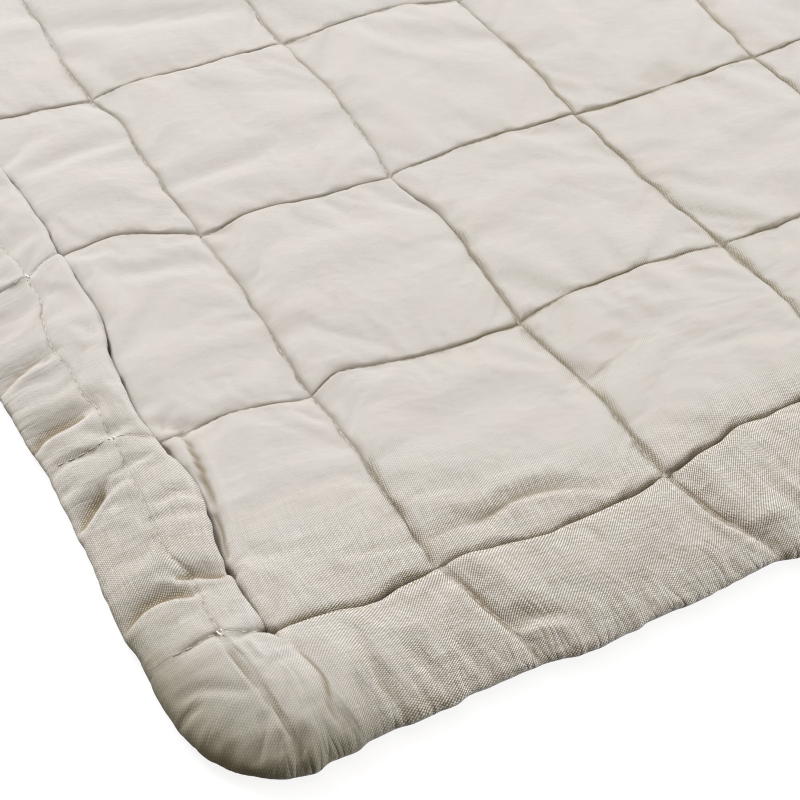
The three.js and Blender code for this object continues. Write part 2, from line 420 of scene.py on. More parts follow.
b = blanket
halfWidth, halfLength = b["width"] / 2, b["length"] / 2
straightX, straightY = halfWidth - b["cornerRadius"], halfLength - b["cornerRadius"]
sideSeam, endSeam = halfWidth - b["sideSeamInset"], halfLength - b["endSeamInset"]
tackLine = halfWidth - b["tackInset"]
innerLines = evenLines(b["innerColumns"], b["pitch"])
fieldLines = [-sideSeam, *innerLines, sideSeam]
lengthwise = [-tackLine, *fieldLines, tackLine]
crosswise = evenLines(b["rows"], 2 * endSeam / b["rows"])
rollTurns = np.radians(np.linspace(-90, 90, 361))


def rollPlace(turn):  # plan inset and height of the border, from -90 at the floor to 90 on top
    power = np.where(turn < 0, 1, 2 / b["rollRound"])
    depth = np.where(turn < 0, b["rollUnder"], b["rollTop"])
    rise = np.where(turn < 0, b["edgeHeight"], b["rollCrown"] - b["edgeHeight"])
    inset = depth * (1 - np.abs(np.cos(turn)) ** power)
    return inset, b["edgeHeight"] + np.sign(turn) * rise * np.abs(np.sin(turn)) ** power


rollSteps = np.hypot(*np.diff(rollPlace(rollTurns)))
rollRun = np.concatenate([[0], np.cumsum(rollSteps)])  # length of cloth up over the roll
underArc = rollRun[len(rollRun) // 2]
topArc = rollRun[-1] - underArc
rollSlack = underArc + topArc - b["rollTop"]  # cloth that the roll takes up beyond the outline
clothHalfWidth, clothHalfLength = halfWidth + rollSlack, halfLength + rollSlack

meshSet = {
    "besideSeam": [0.6, 1.5, 2.8, 4.6],
    "besideSeamFar": [1.0, 2.6],
    "seamRoom": 2.6,  # a cell this many times as wide as a stop's offset gets that stop
    "steps": [1.35, 2.0, 2.6, 4.4, 10.0],  # mesh step in each band, from the photo's corner
    "bandsX": (-270, -160, 40, 112),
    "bandsY": (-352, -250, -150, -40),
    "backStep": 14,
    "backMargin": 14,
    "backGroove": (2.5, 4),  # depth and reach of the sewn lines underneath
}


def meshStops(lines, clothHalf, bands, m):
    bounds = [-clothHalf, *lines, clothHalf]
    stops = [-clothHalf]
    for low, high in zip(bounds[:-1], bounds[1:]):
        band = int(np.searchsorted(bands, (low + high) / 2))
        offsets = m["besideSeam"] if band < len(bands) else m["besideSeamFar"]
        beside = [d for d in offsets if d < (high - low) / m["seamRoom"]]
        start = low + (0 if low == -clothHalf else beside[-1])
        end = high - (0 if high == clothHalf else beside[-1])
        if low != -clothHalf:
            stops += [low + d for d in beside]
        count = max(1, round((end - start) / m["steps"][band]))
        stops += [start + (end - start) * k / count for k in range(1, count + 1)]
        if high != clothHalf:
            stops += [high - d for d in reversed(beside[:-1])] + [high]
    return np.array(stops)


acrossStops = meshStops(lengthwise, clothHalfWidth, meshSet["bandsX"], meshSet)
alongStops = meshStops(crosswise, clothHalfLength, meshSet["bandsY"], meshSet)


def stopAt(stops, line):
    return np.searchsorted(stops, np.array(line) - 0.01)


def strayShift(lines, table, clothHalf, across, along, corner, c):
    places = np.array([-clothHalf, *lines, clothHalf])
    shifts = [np.zeros_like(along)]
    for k in range(len(lines)):
        salt = 20 + k + len(lines) * 40
        broad, fine = (size * softNoise(along / spacing, 0.37, salt + extra)
                       for (size, spacing), extra in ((c["broad"], 0), (c["fine"], 300)))
        if k in table:
            at, by = zip(*table[k])
            at = np.array(at) - corner
            placed = np.mean([np.interp(along + d, at, by, by[0], 0) for d in c["rounding"]], axis=0)
            broad = c["placedShare"] * broad + placed
        shifts.append(broad + fine)
    shifts = np.array(shifts + [np.zeros_like(along)])
    k = np.clip(np.searchsorted(places, across, side="right") - 1, 0, len(places) - 2)
    share = ramp(across, places[k], places[k + 1] - places[k])[:, None]
    return shifts[k] * (1 - share) + shifts[k + 1] * share


def rollSection(w):  # plan inset, height and turn of the cloth, w from where it leaves the floor
    turn = np.interp(w, rollRun, rollTurns)
    inset, rise = rollPlace(turn)
    return inset + np.clip(w - underArc - topArc, 0, None), rise, turn


def linesStray(s, t, c):
    insetX, insetY = rollSection(clothHalfWidth - np.abs(s))[0], rollSection(clothHalfLength - np.abs(t))[0]
    planX, planY = np.sign(s) * (halfWidth - insetX), np.sign(t) * (halfLength - insetY)
    strayX = strayShift(lengthwise, lengthwiseStray, clothHalfWidth, s, planY, halfLength, c)
    strayY = strayShift(crosswise, crosswiseStray, clothHalfLength, t, planX, halfWidth, c)
    strayX *= smooth(insetX / c["edgeBlend"])[:, None]
    strayY *= smooth(insetY / c["edgeBlend"])[:, None]
    return strayX, strayY.T


def clothLayout(s, t):
    # places on the flat cloth, turned over the rounded outline
    r = b["cornerRadius"]
    corner = r + rollSlack
    signX, signY = np.sign(s), np.sign(t)
    p = (np.abs(s) - clothHalfWidth + corner) / corner
    q = (np.abs(t) - clothHalfLength + corner) / corner
    inCorner, onSide = (p > 0) & (q > 0), p > q
    pc, qc = np.clip(p, 0, 1), np.clip(q, 0, 1)
    pd = pc * np.sqrt(1 - qc ** 2 / 2)
    qd = qc * np.sqrt(1 - pc ** 2 / 2)
    radius = np.hypot(pd, qd)
    safe = np.where(radius > 0, radius, 1)
    w = np.where(inCorner, corner * (1 - radius), corner * (1 - np.maximum(p, q)))
    nx = np.where(inCorner, pd / safe, np.where(onSide, 1.0, 0.0)) * signX
    ny = np.where(inCorner, qd / safe, np.where(onSide, 0.0, 1.0)) * signY
    inset, rise, turn = rollSection(w)
    flatX, flatY = rollSection(clothHalfWidth - np.abs(s))[0], rollSection(clothHalfLength - np.abs(t))[0]
    centreX, centreY = signX * straightX, signY * straightY
    return {
        "w": w, "inset": inset, "rise": rise, "turn": turn, "nx": nx, "ny": ny,
        "x": np.where(inCorner, centreX + nx * (r - inset), signX * (halfWidth - flatX)),
        "y": np.where(inCorner, centreY + ny * (r - inset), signY * (halfLength - flatY)),
        "u": np.where(inCorner, centreX + nx * (corner - w), s),
        "v": np.where(inCorner, centreY + ny * (corner - w), t),
        "edgeX": np.where(inCorner, centreX + nx * r, np.where(onSide, signX * halfWidth, s)),
        "edgeY": np.where(inCorner, centreY + ny * r, np.where(onSide, t, signY * halfLength)),
    }


def dip(d, shape):
    steep, near, far = shape
    return steep * np.exp(-d / near) + (1 - steep) * np.exp(-d / far)


def varied(along, setting, row, salt):
    mean, spread, spacing = setting
    return mean + spread * softNoise(along / spacing, row, salt)


def seamShare(u, v, inset):
    # share of the filling's height that the sewn lines leave, inside the border and at it
    inField = (np.abs(u) <= sideSeam + 1e-6) & (np.abs(v) <= endSeam + 1e-6)
    share, edge = np.ones_like(u), np.ones_like(u)
    near, tone = np.full_like(u, 1e3), np.zeros_like(u)
    onRoll = ramp(inset, *b["rollStart"])
    pastSeam = np.abs(u) > sideSeam
    tones, runOut = b["toneReach"], b["borderRunOut"]
    families = ((lengthwise, u, v, sideSeam, endSeam), (crosswise, v, u, endSeam, sideSeam))
    for family, (lines, over, along, border, ends) in enumerate(families):
        acrossTint = b["acrossTint"][family] * onRoll
        for k, line in enumerate(lines):
            d = np.abs(over - line)
            tight = varied(along, b["tightness"], k + 0.5, 500 + family)
            patchy = varied(along, b["patchiness"], k + 0.5, 510 + family)
            across = onRoll * b["acrossPinch"][family] * dip(d, b["acrossDip"][family])
            if abs(line) == tackLine:
                drop = np.where(pastSeam, b["tackPinch"] * dip(d, b["tackDip"]), 0)
                share *= 1 - drop
                tint, reach = b["tackTint"] * pastSeam, tones["tack"]
            elif abs(line) == border:
                crossing = nearest(along, innerLines if family else crosswise)
                gap = 1 - b["bridge"][0] * family * np.exp(-(crossing / b["bridge"][1]) ** 2)
                within = smooth((ends + runOut - np.abs(along)) / runOut)
                sides = np.where(np.abs(over) < border, dip(d, b["borderDip"]), dip(d, b["rollDip"]))
                drop = within * gap * sides
                edge *= 1 - drop
                tint, reach = b["borderTint"] * within * gap, tones["border"][family]
                if family == 1:
                    share *= 1 - (1 - within) * across
                    drop = np.maximum(drop, (1 - within) * across)
                    tint += acrossTint * (1 - within)
            else:
                drop = np.where(inField, tight * dip(d, b["cellDip"][family]), across)
                depth = b["seamDepth"][family] / b["seamDepth"][0]
                share *= 1 - np.where(inField, drop * depth, drop)
                tint = np.where(inField, b["seamTint"][family], acrossTint)
                reach = np.where(inField, tones["cell"], tones["across"])
            near = np.where(drop > b["sewnFrom"], np.minimum(near, d), near)
            tone = np.maximum(tone, tint * np.minimum(patchy, 1) * np.exp(-(d / reach) ** 1.3))
    return share, edge, near, inField, tone


def cellShare(place, lines):  # which cell, and how far across it
    edges = np.array(lines)
    cell = np.clip(np.searchsorted(edges, place) - 1, 0, len(edges) - 2)
    return cell, (place - edges[cell]) / (edges[cell + 1] - edges[cell])


def crownShare(u, v):
    # soft dome of each cell, and how full that cell is
    column, fu = cellShare(u, fieldLines)
    row, fv = cellShare(v, crosswise)
    dome = np.sqrt(np.clip(4 * fu * (1 - fu), 0, 1) * np.clip(4 * fv * (1 - fv), 0, 1))
    full = 1 + b["crownSpread"] * np.sin(2.3 * column + 4.1 * row + column * row)
    return dome, full


def filledHeight(cloth, share, edge, inField, atCorner):
    u, v, rise, rim = cloth["u"], cloth["v"], cloth["rise"], b["edgeHeight"]
    dome, full = crownShare(u, v)
    fuller = np.sqrt(1 - np.clip(1 - cloth["inset"] / b["cornerRound"], 0, 1) ** 2)
    fuller = rim + (b["cornerCrown"] - rim) * fuller
    atEnds = ramp(np.abs(cloth["ny"]), *b["sideFacing"]) * (1 - atCorner)
    lower = b["endLower"] * atEnds * (rise - rim)
    rise = rise + np.where(cloth["turn"] > 0, atCorner * (fuller - rise) - lower, 0)
    fromSide, fromEnd = np.abs(np.abs(u) - sideSeam), np.abs(np.abs(v) - endSeam)
    fromBorder = np.minimum(np.where(np.abs(v) < endSeam, fromSide, 99),
                            np.where(np.abs(u) < sideSeam, fromEnd, 99))
    bridged = np.exp(-(nearest(u, innerLines) / b["bridge"][1]) ** 2) * (fromEnd < b["borderBand"])
    sunk = np.exp(-fromBorder / b["borderSink"][1]) * (1 - bridged)
    sewnDown = b["cellHeight"] - b["borderDepth"]
    cellTop = b["cellHeight"] + b["cellCrown"] * dome * full - b["seamDepth"][0] * (1 - share)
    z = sewnDown + np.where(inField, (cellTop - sewnDown) * edge, (rise - sewnDown) * share * edge)
    return np.where(cloth["turn"] < 0, rise, z) - b["borderSink"][0] * sunk


def closeSeams(flat, lines, border):
    moved = np.zeros_like(flat)
    for line in lines:
        d = flat - line
        close = b["seamClose"]
        if abs(line) == border:
            close = np.where(d * line > 0, b["borderClose"][1], b["borderClose"][0])
        moved -= close * d * np.exp(-(d / b["closeReach"]) ** 2)
    return moved


def seamsClosed(cloth, inField):
    u, v = cloth["u"], cloth["v"]
    share, *start = b["closeOnRoll"]
    onRoll = share * ramp(cloth["inset"], *start)
    shifts = []
    for place, other, lines, seam, end in ((u, v, fieldLines, sideSeam, endSeam),
                                           (v, u, crosswise, endSeam, sideSeam)):
        beside = (np.abs(other) < end) & (np.abs(np.abs(place) - seam) < b["borderBand"])
        shifts.append(closeSeams(place, lines, seam) * np.where(inField | beside, 1, onRoll))
    return shifts


def drawnIn(cloth):
    # the edges bow in, and each line draws them in further
    u, v, inset = cloth["u"], cloth["v"], cloth["inset"]
    onSide = np.abs(cloth["nx"]) > np.abs(cloth["ny"])
    before = np.where(onSide, straightY - np.abs(v), straightX - np.abs(u))
    line = np.where(onSide, nearest(v, crosswise), nearest(u, innerLines))
    depth, reach = b["edgeNick"]
    nick = depth * np.exp(-(line / reach) ** 2) * np.exp(-inset / b["rollTop"])
    bows = [sum(size * ramp(before, *start) for size, *start in b[k]) for k in ("sideBow", "endBow")]
    bow = np.where(onSide, *bows)
    return nick * smooth(before / b["nickBlend"]) + bow * smooth(1 - inset / b["sideSeamInset"])


def weavePlaces(points, cloth, s, t):
    # cloth measured over the surface, so the weave keeps its size on the walls of the seams
    clear = 10  # only cloth this far inside the border counts
    acrossSteps = np.linalg.norm(np.diff(points, axis=0), axis=-1)[:, np.abs(t) < endSeam - clear]
    alongSteps = np.linalg.norm(np.diff(points, axis=1), axis=-1)[np.abs(s) < sideSeam - clear]
    acrossRun = np.concatenate([[0], np.cumsum(np.median(acrossSteps, axis=1))])
    alongRun = np.concatenate([[0], np.cumsum(np.median(alongSteps, axis=0))])
    return np.stack([np.interp(cloth["u"], s, acrossRun), np.interp(cloth["v"], t, alongRun)], -1)


relief = {
    "waves": (0.2, 52, 17),  # height, and spacing across and along
    "waveSpread": (0.8, 0.9, 110),
    "ripples": (0.12, 23, 19),
    "puckers": [(5.5, 0.3, 4), (11, 0.55, 8), (24, 0.7, 18)],  # spacing, height, reach
    "puckerStart": 1.6,
    "puckersLost": 0.75,  # share that the corners go without
    # height, spacing, length and seed
    "gathers": [(0.45, 5.2, 30, 702), (0.75, 9.5, 50, 703), (0.4, 21, 50, 707)],
    "gatherSpread": (1.45, 0.7, 40),
    "gatherReach": (22, 14, 26),  # how far up the roll a fold comes
    "gatherBlend": (14, 24),
    "gatherLean": 0.15,
    "sideShare": 0.3,  # the ends are gathered, the long sides hardly
    "endFacing": (0.75, 0.25),
    # turn of the roll in degrees where each starts, and its blend
    "gatherTurn": (-75, 60),
    "puckerTurn": (-10, 80),
    "creaseTurn": (-25, 50),
    "floorBlend": 6,
}


def puckers(u, v, c):
    # short gathers that stand across each seam and run out into the cells
    lift = np.zeros_like(u)
    for family, (lines, across, along) in enumerate(((lengthwise, u, v), (crosswise, v, u))):
        for k, line in enumerate(lines):
            d = across - line
            side = np.where(d < 0, 0.0, 1.0)
            start = 1 - np.exp(-np.abs(d) / c["puckerStart"])
            for o, (spacing, height, reach) in enumerate(c["puckers"]):
                wave = softNoise(along / spacing, 3 * k + 1.5 * side, 600 + 10 * family + o)
                lift += height * wave * start * np.exp(-np.abs(d) / reach)
    return lift


def lowWaves(u, v, c):
    height, across, along = c["waves"]
    waves = height * softNoise(u / across + v / 90, v / along - u / 120, 700)  # they lean a little
    waves *= varied(u, c["waveSpread"], v / c["waveSpread"][2], 706)
    height, across, along = c["ripples"]
    return waves + height * softNoise(u / across, v / along, 701)


def outlineRun(cloth):  # places measured round the outline
    u, v, ny = cloth["u"], cloth["v"], np.abs(cloth["ny"])
    bend = np.arctan2(ny, np.abs(cloth["nx"])) * b["cornerRadius"]
    run = np.minimum(np.abs(cloth["edgeY"]), straightY) + bend
    run += np.where(ny == 1, straightX - np.abs(cloth["edgeX"]), 0)
    return np.where(u < 0, 1, -1) * np.sign(v) * run + 2000 * (u > 0)  # the two sides' folds differ


def edgeGathers(edgeRun, inset, turn, c):
    lean = edgeRun + c["gatherLean"] * inset
    reach = varied(edgeRun, c["gatherReach"], 0.4, 705)
    past, blend = c["gatherBlend"]
    gathers = sum(height * softNoise(lean / spacing, inset / length, salt)
                  for height, spacing, length, salt in c["gathers"])
    gathers *= varied(edgeRun, c["gatherSpread"], 0.6, 704)
    return gathers * smooth((reach + past - inset) / blend) * ramp(turn, *c["gatherTurn"])


def crossingFolds(crossings, c):
    # a few short folds that run out from each crossing
    draw = np.random.default_rng(seed + 40)
    spread, bending = c["swing"]
    folds = []
    for x, y in crossings:
        turn = draw.uniform(0, 2 * math.pi)
        for k in range(c["folds"]):
            angle = turn + (k + draw.uniform(-spread, spread)) * 2 * math.pi / c["folds"]
            half = draw.uniform(*c["length"]) / 2
            width = draw.uniform(*c["width"])
            bend = angle + draw.uniform(-bending, bending)
            path = [(x + c["start"] * math.cos(angle), y + c["start"] * math.sin(angle))]
            for way in (angle, bend):
                path.append((path[-1][0] + half * math.cos(way), path[-1][1] + half * math.sin(way)))
            folds.append((path, (width, width), draw.uniform(*c["depth"])))
    return folds


def roundedPath(points, passes=2):
    path = [np.array(p, float) for p in points]
    for step in range(passes):
        cut = [path[0]]
        for p, q in zip(path[:-1], path[1:]):
            cut += [0.75 * p + 0.25 * q, 0.25 * p + 0.75 * q]
        path = cut + [path[-1]]
    return path


def creaseDepth(x, y, folds):
    past = 0.12  # a crease has not quite run out at its last point
    core = 0.85  # share of the width that is shaded
    lift, shade, line = (np.zeros_like(x) for k in range(3))
    for points, widths, depth in folds:
        path = roundedPath(points)
        low, high = np.min(path, axis=0) - 4 * max(widths), np.max(path, axis=0) + 4 * max(widths)
        spot = (x > low[0]) & (x < high[0]) & (y > low[1]) & (y < high[1])
        px, py = x[spot], y[spot]
        best, fade, width = np.full_like(px, 1e6), np.zeros_like(px), np.ones_like(px)
        total = sum(math.dist(p, q) for p, q in zip(path[:-1], path[1:]))
        run = 0
        for (x0, y0), (x1, y1) in zip(path[:-1], path[1:]):
            length = math.dist((x0, y0), (x1, y1))
            along = ((px - x0) * (x1 - x0) + (py - y0) * (y1 - y0)) / length ** 2
            t = np.clip(along, 0, 1)
            d = np.hypot(px - x0 - t * (x1 - x0), py - y0 - t * (y1 - y0))
            left = (x1 - x0) * (py - y0) - (y1 - y0) * (px - x0) > 0
            place = (run + t * length) / total
            closer = d < best
            arch = 4 * (place + past) * (1 + past - place) / (1 + 2 * past) ** 2
            fade = np.where(closer, np.sqrt(np.clip(arch, 0, 1)), fade)
            width = np.where(closer, np.where(left, widths[0], widths[1]), width)
            best = np.minimum(best, d)
            run += length
        lip = 0.1 * np.exp(-((best - 2.1 * width) / width) ** 2)
        lift[spot] += depth * fade * (lip - np.exp(-(best / width) ** 1.6))
        sunk = max(depth, 0) * fade
        shade[spot] += sunk * np.exp(-(best / (core * width)) ** 2)
        # a line of painted shade along the bottom of the crease
        line[spot] = np.maximum(line[spot], sunk * np.exp(-(best / (core * min(widths))) ** 2))
    return lift, shade, line


markSet = {  # what the cloth's finish reads from the mesh; starts and blends, turns of the roll in degrees
    "gathered": (-5, 46),  # where the low gathers are, and their spread
    # painted shade low on the edges, darker and browner towards the floor
    "lowEdgeShade": (50, 90),
    "lowEdgeRise": 26,  # painted shade: darker, and reaching further up, at the corner where u and v are below zero
    "lowEdgeShadeAmount": (0.08, 1.32),  # painted shade everywhere, and added at that corner
    "lowEdgeEnd": (-50, 60),
    # reach of the open weave from an end: in its middle, added beside the corners, on the long sides
    "opening": (30, 45, 190),
    "openingAt": (130, 120),
    "cornerFaded": 0.68,
    # painted shade in the folds: where it starts, by the crease's depth, and its blend
    "fold": (1.2, 2),
    # painted shade along the bottom of the sunken creases
    "crease": (0.7, 1.3),
    "creaseShadeShare": 0.7,
    "slopeLost": (0.8, 0.5, 0.6),  # painted slope shade is lost on the long sides, at the corners, and low on the ends
    "middle": (220, 60),
}


def clothMarks(cloth, turn, atCorner, atEnd, shade, line, c):
    u, v = cloth["u"], cloth["v"]
    middle, spread = c["gathered"]
    gathered = np.exp(-((turn - middle) / spread) ** 2) * (turn < 89) * atEnd
    # painted shade low on the edge, strongest at one corner
    shadedCorner = atCorner * (u < 0) * (v < 0)
    top, blend = c["lowEdgeShade"]
    lowEdgeShade = smooth((top + c["lowEdgeRise"] * shadedCorner - turn) / blend)
    lowEdgeShade *= (c["lowEdgeShadeAmount"][0] + c["lowEdgeShadeAmount"][1] * shadedCorner) * ramp(turn, *c["lowEdgeEnd"])
    # the weave opens towards the ends, and most of all beside the corners
    atMiddle, beside, sides = c["opening"]
    opening = np.where(np.abs(u) > sideSeam, sides, atMiddle + beside * ramp(np.abs(u), *c["openingAt"]))
    crisp = smooth(1 - np.clip(endSeam - np.abs(v), 0, None) / opening) * (1 - c["cornerFaded"] * atCorner)
    # share of the painted shade on slopes
    sideLost, cornerLost, lowLost = c["slopeLost"]
    onSide = ramp(np.abs(cloth["nx"]), *b["sideFacing"]) * (1 - atCorner)
    slope = 1 - sideLost * onSide - cornerLost * atCorner
    slope *= 1 - lowLost * gathered * (1 - ramp(np.abs(u), *c["middle"]))
    return {"gathered": gathered, "lowEdgeShade": lowEdgeShade, "crisp": crisp, "slope": slope,
            "inFoldShade": ramp(shade, *c["fold"]), "seamBrownAndCreaseShade": c["creaseShadeShare"] * ramp(line, *c["crease"])}


def blanketSurface():
    s, t = acrossStops, alongStops
    cloth = clothLayout(*np.meshgrid(s, t, indexing="ij"))
    u, v, inset, turn = cloth["u"], cloth["v"], cloth["inset"], np.degrees(cloth["turn"])
    share, edge, near, inField, tone = seamShare(u, v, inset)
    reachX, reachY = b["cornerReach"]
    atCorner = ramp(np.abs(u), halfWidth - reachX, b["cornerBlend"])
    atCorner *= ramp(np.abs(v), halfLength - reachY, b["cornerBlend"])
    # seams close up, lines stray and edges are drawn in, in plan
    strayX, strayY = linesStray(s, t, wander)
    closedX, closedY = seamsClosed(cloth, inField)
    draw = drawnIn(cloth)
    x = cloth["x"] + strayX + closedX - cloth["nx"] * draw
    y = cloth["y"] + strayY + closedY - cloth["ny"] * draw
    points = np.stack([x, y, filledHeight(cloth, share, edge, inField, atCorner)], -1)
    weave = weavePlaces(points, cloth, s, t)
    # relief along the normals
    normal = np.cross(np.gradient(points, axis=0), np.gradient(points, axis=1))
    normal /= np.linalg.norm(normal, axis=-1, keepdims=True) + 1e-12
    c = relief
    edgeRun = outlineRun(cloth)
    atEnd = c["sideShare"] + (1 - c["sideShare"]) * ramp(np.abs(cloth["ny"]), *c["endFacing"])
    lift = puckers(u, v, c) * ramp(turn, *c["puckerTurn"]) * (1 - c["puckersLost"] * atCorner)
    lift += lowWaves(u, v, c) * share * edge + edgeGathers(edgeRun, inset, turn, c) * atEnd
    crossings = [(x[i, j], y[i, j]) for i in stopAt(s, lengthwise) for j in stopAt(t, crosswise)]
    placed = [([(p - halfWidth, q - halfLength) for p, q in path], *rest) for path, *rest in creases]
    creased, shade, line = creaseDepth(x, y, placed + crossingFolds(crossings, bunching))
    lift += creased * ramp(turn, *c["creaseTurn"])
    points += normal * (lift * smooth(cloth["w"] / c["floorBlend"]))[..., None]
    points[..., 2] = np.where(cloth["w"] <= 0, 0, np.maximum(points[..., 2], 0))
    marks = clothMarks(cloth, turn, atCorner, atEnd, shade, line, markSet)
    # the sewn lines' own brown, joined with the painted crease shade
    marks["seamBrownAndCreaseShade"] = np.maximum(marks["seamBrownAndCreaseShade"], tone)
    marks["edgeRun"] = edgeRun * mm
    print("surface", points.shape, "heights", points[..., 2].min().round(2), points[..., 2].max().round(2))
    return points, weave, near < b["sewnReach"], marks


def gridFaces(index):
    quads = [index[:-1, :-1], index[1:, :-1], index[1:, 1:], index[:-1, 1:]]
    return np.stack(quads, -1).reshape(-1, 4).tolist()


def boundaryLoop(index):
    return [*index[:-1, 0], *index[-1, :-1], *index[:0:-1, -1], *index[0, :0:-1]]


def backStops(seam, lines, m):
    reach = seam + m["backMargin"]
    stops = np.linspace(-reach, reach, round(2 * reach / m["backStep"]))
    return np.unique(np.concatenate([stops, lines]).round(3))


def backSurface(m):
    # flat underside with shallow sewn lines
    x, y = np.meshgrid(backStops(sideSeam, fieldLines, m), backStops(endSeam, crosswise, m), indexing="ij")
    depth, reach = m["backGroove"]
    inside = (np.abs(x) <= sideSeam) & (np.abs(y) <= endSeam)
    groove = depth * np.exp(-np.minimum(nearest(x, fieldLines), nearest(y, crosswise)) / reach)
    return np.stack([x, y, np.where(inside, groove, 0)], -1)


def makeBlanket():
    top, topCloth, sewn, marks = blanketSurface()
    back = backSurface(meshSet)
    topIndex = np.arange(sewn.size).reshape(sewn.shape)
    backIndex = np.arange(back[..., 0].size).reshape(back.shape[:2]) + sewn.size
    points = np.concatenate([top.reshape(-1, 3), back.reshape(-1, 3)])
    faces = gridFaces(topIndex) + [face[:1] + face[:0:-1] for face in gridFaces(backIndex)]
    # the margin between the edge and the underside
    loops = [boundaryLoop(topIndex), boundaryLoop(backIndex)]
    margin = loops[0] + loops[1]
    for tri in geometry.tessellate_polygon([[Vector(points[k]) for k in loop] for loop in loops]):
        corners = [margin[k] for k in tri]
        a, c, d = (points[k] for k in corners)
        up = (c[0] - a[0]) * (d[1] - a[1]) - (c[1] - a[1]) * (d[0] - a[0]) > 0
        faces.append(corners[::-1] if up else corners)
    mesh = bpy.data.meshes.new("quiltedCotton")
    mesh.from_pydata((points * mm).tolist(), [], faces)
    mesh.polygons.foreach_set("use_smooth", np.ones(len(mesh.polygons), bool))
    cloth = np.concatenate([topCloth.reshape(-1, 2), back.reshape(-1, 3)[:, :2]])
    corner = np.empty(len(mesh.loops), int)
    mesh.loops.foreach_get("vertex_index", corner)
    uvMap = mesh.uv_layers.new(name="clothMap")
    uvMap.data.foreach_set("uv", (cloth[corner] * mm).ravel().astype(np.float32))
    for name, values in marks.items():
        mesh.attributes.new(name, "FLOAT", "POINT")
        values = np.concatenate([values.ravel(), np.zeros(len(points) - sewn.size)])
        mesh.attributes[name].data.foreach_set("value", values.astype(np.float32))
    mesh.validate()
    piece = bpy.data.objects.new("quilted_cotton_cover", mesh)
    scene.collection.objects.link(piece)
    triangles = sum(len(p.vertices) - 2 for p in mesh.polygons)
    print("blanket", len(mesh.vertices), "points", triangles, "triangles")
    return piece, sewn


settling = {
    "frames": 10,
    "quality": 5,
    "grow": 0.007,  # the cover is cut this much larger than the shape it is sewn to
    "mass": 0.02,
    "stiffness": 20,
    "bending": 0.05,
    "heldBelow": 3,  # mm
    "keepBroad": 0.1,  # share of the swelling that stays, the wadding holds back the rest
    "broadPasses": 60,
    "cap": 3,  # mm
}


def readPoints(mesh):
    flat = np.empty(len(mesh.vertices) * 3)
    mesh.vertices.foreach_get("co", flat)
    return flat.reshape(-1, 3)


def topGrid(piece, shape):
    return readPoints(piece.data)[:shape[0] * shape[1]].reshape(*shape, 3)


def settleCover(piece, sewn, c):
    # the cover wrinkles between its sewn lines, as a cloth that is a little too large
    start = readPoints(piece.data)
    held = start[:, 2] < c["heldBelow"] * mm
    held[:sewn.size] |= sewn.ravel()
    group = piece.vertex_groups.new(name="sewn")
    group.add(np.nonzero(held)[0].tolist(), 1.0, "REPLACE")
    cloth = piece.modifiers.new("settle", "CLOTH")
    s = cloth.settings
    s.quality = c["quality"]
    s.mass = c["mass"]
    s.tension_stiffness = s.compression_stiffness = c["stiffness"]
    s.shear_stiffness = c["stiffness"] / 2
    s.bending_stiffness = c["bending"]
    s.vertex_group_mass = group.name
    s.shrink_min = s.shrink_max = -c["grow"]
    s.effector_weights.gravity = 0
    cloth.collision_settings.use_collision = False
    cloth.collision_settings.use_self_collision = False
    cloth.point_cache.frame_start = 1
    cloth.point_cache.frame_end = c["frames"]
    for frameNumber in range(1, c["frames"] + 1):
        scene.frame_set(frameNumber)
    settled = readPoints(piece.evaluated_get(bpy.context.evaluated_depsgraph_get()).data)
    piece.modifiers.remove(cloth)
    piece.vertex_groups.clear()
    scene.frame_set(1)
    move = (settled - start)[:sewn.size].reshape(*sewn.shape, 3)
    broad = move.copy()
    for step in range(c["broadPasses"]):
        broad[1:-1] = (broad[:-2] + 2 * broad[1:-1] + broad[2:]) / 4
        broad[:, 1:-1] = (broad[:, :-2] + 2 * broad[:, 1:-1] + broad[:, 2:]) / 4
    move -= (1 - c["keepBroad"]) * broad
    length = np.linalg.norm(move, axis=-1, keepdims=True)
    move *= np.minimum(1, c["cap"] * mm / np.maximum(length, 1e-9))
    move[sewn] = 0
    start[:sewn.size] += move.reshape(-1, 3)
    start[:, 2] = np.maximum(start[:, 2], 0)
    piece.data.vertices.foreach_set("co", start.ravel())
    piece.data.update()
    print("settled, mean move mm", (length.mean() / mm).round(2))


# the slope of the settled cloth drives the painted slope shade
def markSlopes(piece, shape):
    grid = topGrid(piece, shape)
    normal = np.cross(np.gradient(grid, axis=0), np.gradient(grid, axis=1))
    slope = np.arccos(np.clip(normal[..., 2] / (np.linalg.norm(normal, axis=-1) + 1e-12), -1, 1))
    values = np.empty(len(piece.data.vertices), np.float32)
    piece.data.attributes["slope"].data.foreach_get("value", values)
    values[:slope.size] *= slope.ravel()
    piece.data.attributes["slope"].data.foreach_set("value", values)


cover, sewnPoints = makeBlanket()
settleCover(cover, sewnPoints, settling)
markSlopes(cover, sewnPoints.shape)

# the cloth's finish

